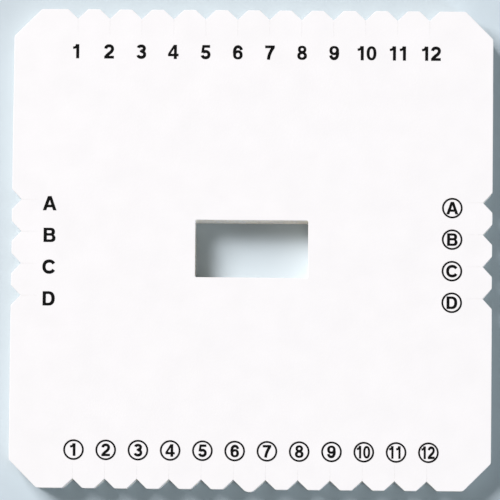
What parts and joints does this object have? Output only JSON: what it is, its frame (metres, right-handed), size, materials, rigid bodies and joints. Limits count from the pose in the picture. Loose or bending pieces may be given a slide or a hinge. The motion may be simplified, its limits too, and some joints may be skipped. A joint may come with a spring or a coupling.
{
  "type": "kumihimo plate",
  "caption": "Square foam plate for flat kumihimo braids, with slit fingers round its edge that grip the threads and a window in the middle for the braid.",
  "frame": {"origin": "centre of the board's underside", "axes": "+Z out of the printed face, +Y towards the plain numbers, +X towards the ringed letters"},
  "size_m": [0.15, 0.1508, 0.01],
  "materials": {
    "foam": "matte",
    "ink": "satin"
  },
  "bodies": {
    "plate": {"foam_board": "foam", "top_numbers": "ink", "bottom_numbers": "ink", "bottom_rings": "ink", "left_letters": "ink", "right_letters": "ink", "right_rings": "ink"},
    "finger_top_01": {"finger_top_01": "foam"},
    "finger_top_02": {"finger_top_02": "foam"},
    "finger_top_03": {"finger_top_03": "foam"},
    "finger_top_04": {"finger_top_04": "foam"},
    "finger_top_05": {"finger_top_05": "foam"},
    "finger_top_06": {"finger_top_06": "foam"},
    "finger_top_07": {"finger_top_07": "foam"},
    "finger_top_08": {"finger_top_08": "foam"},
    "finger_top_09": {"finger_top_09": "foam"},
    "finger_top_10": {"finger_top_10": "foam"},
    "finger_top_11": {"finger_top_11": "foam"},
    "finger_bottom_01": {"finger_bottom_01": "foam"},
    "finger_bottom_02": {"finger_bottom_02": "foam"},
    "finger_bottom_03": {"finger_bottom_03": "foam"},
    "finger_bottom_04": {"finger_bottom_04": "foam"},
    "finger_bottom_05": {"finger_bottom_05": "foam"},
    "finger_bottom_06": {"finger_bottom_06": "foam"},
    "finger_bottom_07": {"finger_bottom_07": "foam"},
    "finger_bottom_08": {"finger_bottom_08": "foam"},
    "finger_bottom_09": {"finger_bottom_09": "foam"},
    "finger_bottom_10": {"finger_bottom_10": "foam"},
    "finger_bottom_11": {"finger_bottom_11": "foam"},
    "finger_left_01": {"finger_left_01": "foam"},
    "finger_left_02": {"finger_left_02": "foam"},
    "finger_left_03": {"finger_left_03": "foam"},
    "finger_right_01": {"finger_right_01": "foam"},
    "finger_right_02": {"finger_right_02": "foam"},
    "finger_right_03": {"finger_right_03": "foam"}
  },
  "joints": [
    {"name": "bend_top_01", "type": "hinge", "parent": "plate", "child": "finger_top_01", "pos_m": [-0.05, 0.0669, 0.005], "axis": [1, 0, 0], "range_deg": [-12, 12], "stiffness_Nm_per_rad": 0.2},
    {"name": "bend_top_02", "type": "hinge", "parent": "plate", "child": "finger_top_02", "pos_m": [-0.04, 0.0669, 0.005], "axis": [1, 0, 0], "range_deg": [-12, 12], "stiffness_Nm_per_rad": 0.2},
    {"name": "bend_top_03", "type": "hinge", "parent": "plate", "child": "finger_top_03", "pos_m": [-0.03, 0.0669, 0.005], "axis": [1, 0, 0], "range_deg": [-12, 12], "stiffness_Nm_per_rad": 0.2},
    {"name": "bend_top_04", "type": "hinge", "parent": "plate", "child": "finger_top_04", "pos_m": [-0.02, 0.0669, 0.005], "axis": [1, 0, 0], "range_deg": [-12, 12], "stiffness_Nm_per_rad": 0.2},
    {"name": "bend_top_05", "type": "hinge", "parent": "plate", "child": "finger_top_05", "pos_m": [-0.01, 0.0669, 0.005], "axis": [1, 0, 0], "range_deg": [-12, 12], "stiffness_Nm_per_rad": 0.2},
    {"name": "bend_top_06", "type": "hinge", "parent": "plate", "child": "finger_top_06", "pos_m": [0, 0.0669, 0.005], "axis": [1, 0, 0], "range_deg": [-12, 12], "stiffness_Nm_per_rad": 0.2},
    {"name": "bend_top_07", "type": "hinge", "parent": "plate", "child": "finger_top_07", "pos_m": [0.01, 0.0669, 0.005], "axis": [1, 0, 0], "range_deg": [-12, 12], "stiffness_Nm_per_rad": 0.2},
    {"name": "bend_top_08", "type": "hinge", "parent": "plate", "child": "finger_top_08", "pos_m": [0.02, 0.0669, 0.005], "axis": [1, 0, 0], "range_deg": [-12, 12], "stiffness_Nm_per_rad": 0.2},
    {"name": "bend_top_09", "type": "hinge", "parent": "plate", "child": "finger_top_09", "pos_m": [0.03, 0.0669, 0.005], "axis": [1, 0, 0], "range_deg": [-12, 12], "stiffness_Nm_per_rad": 0.2},
    {"name": "bend_top_10", "type": "hinge", "parent": "plate", "child": "finger_top_10", "pos_m": [0.04, 0.0669, 0.005], "axis": [1, 0, 0], "range_deg": [-12, 12], "stiffness_Nm_per_rad": 0.2},
    {"name": "bend_top_11", "type": "hinge", "parent": "plate", "child": "finger_top_11", "pos_m": [0.05, 0.0669, 0.005], "axis": [1, 0, 0], "range_deg": [-12, 12], "stiffness_Nm_per_rad": 0.2},
    {"name": "bend_bottom_01", "type": "hinge", "parent": "plate", "child": "finger_bottom_01", "pos_m": [-0.05, -0.0669, 0.005], "axis": [-1, 0, 0], "range_deg": [-12, 12], "stiffness_Nm_per_rad": 0.2},
    {"name": "bend_bottom_02", "type": "hinge", "parent": "plate", "child": "finger_bottom_02", "pos_m": [-0.04, -0.0669, 0.005], "axis": [-1, 0, 0], "range_deg": [-12, 12], "stiffness_Nm_per_rad": 0.2},
    {"name": "bend_bottom_03", "type": "hinge", "parent": "plate", "child": "finger_bottom_03", "pos_m": [-0.03, -0.0669, 0.005], "axis": [-1, 0, 0], "range_deg": [-12, 12], "stiffness_Nm_per_rad": 0.2},
    {"name": "bend_bottom_04", "type": "hinge", "parent": "plate", "child": "finger_bottom_04", "pos_m": [-0.02, -0.0669, 0.005], "axis": [-1, 0, 0], "range_deg": [-12, 12], "stiffness_Nm_per_rad": 0.2},
    {"name": "bend_bottom_05", "type": "hinge", "parent": "plate", "child": "finger_bottom_05", "pos_m": [-0.01, -0.0669, 0.005], "axis": [-1, 0, 0], "range_deg": [-12, 12], "stiffness_Nm_per_rad": 0.2},
    {"name": "bend_bottom_06", "type": "hinge", "parent": "plate", "child": "finger_bottom_06", "pos_m": [0, -0.0669, 0.005], "axis": [-1, 0, 0], "range_deg": [-12, 12], "stiffness_Nm_per_rad": 0.2},
    {"name": "bend_bottom_07", "type": "hinge", "parent": "plate", "child": "finger_bottom_07", "pos_m": [0.01, -0.0669, 0.005], "axis": [-1, 0, 0], "range_deg": [-12, 12], "stiffness_Nm_per_rad": 0.2},
    {"name": "bend_bottom_08", "type": "hinge", "parent": "plate", "child": "finger_bottom_08", "pos_m": [0.02, -0.0669, 0.005], "axis": [-1, 0, 0], "range_deg": [-12, 12], "stiffness_Nm_per_rad": 0.2},
    {"name": "bend_bottom_09", "type": "hinge", "parent": "plate", "child": "finger_bottom_09", "pos_m": [0.03, -0.0669, 0.005], "axis": [-1, 0, 0], "range_deg": [-12, 12], "stiffness_Nm_per_rad": 0.2},
    {"name": "bend_bottom_10", "type": "hinge", "parent": "plate", "child": "finger_bottom_10", "pos_m": [0.04, -0.0669, 0.005], "axis": [-1, 0, 0], "range_deg": [-12, 12], "stiffness_Nm_per_rad": 0.2},
    {"name": "bend_bottom_11", "type": "hinge", "parent": "plate", "child": "finger_bottom_11", "pos_m": [0.05, -0.0669, 0.005], "axis": [-1, 0, 0], "range_deg": [-12, 12], "stiffness_Nm_per_rad": 0.2},
    {"name": "bend_left_01", "type": "hinge", "parent": "plate", "child": "finger_left_01", "pos_m": [-0.0669, 0.01, 0.005], "axis": [0, 1, 0], "range_deg": [-12, 12], "stiffness_Nm_per_rad": 0.2},
    {"name": "bend_left_02", "type": "hinge", "parent": "plate", "child": "finger_left_02", "pos_m": [-0.0669, 0, 0.005], "axis": [0, 1, 0], "range_deg": [-12, 12], "stiffness_Nm_per_rad": 0.2},
    {"name": "bend_left_03", "type": "hinge", "parent": "plate", "child": "finger_left_03", "pos_m": [-0.0669, -0.01, 0.005], "axis": [0, 1, 0], "range_deg": [-12, 12], "stiffness_Nm_per_rad": 0.2},
    {"name": "bend_right_01", "type": "hinge", "parent": "plate", "child": "finger_right_01", "pos_m": [0.0669, 0.01, 0.005], "axis": [0, -1, 0], "range_deg": [-12, 12], "stiffness_Nm_per_rad": 0.2},
    {"name": "bend_right_02", "type": "hinge", "parent": "plate", "child": "finger_right_02", "pos_m": [0.0669, 0, 0.005], "axis": [0, -1, 0], "range_deg": [-12, 12], "stiffness_Nm_per_rad": 0.2},
    {"name": "bend_right_03", "type": "hinge", "parent": "plate", "child": "finger_right_03", "pos_m": [0.0669, -0.01, 0.005], "axis": [0, -1, 0], "range_deg": [-12, 12], "stiffness_Nm_per_rad": 0.2}
  ]
}
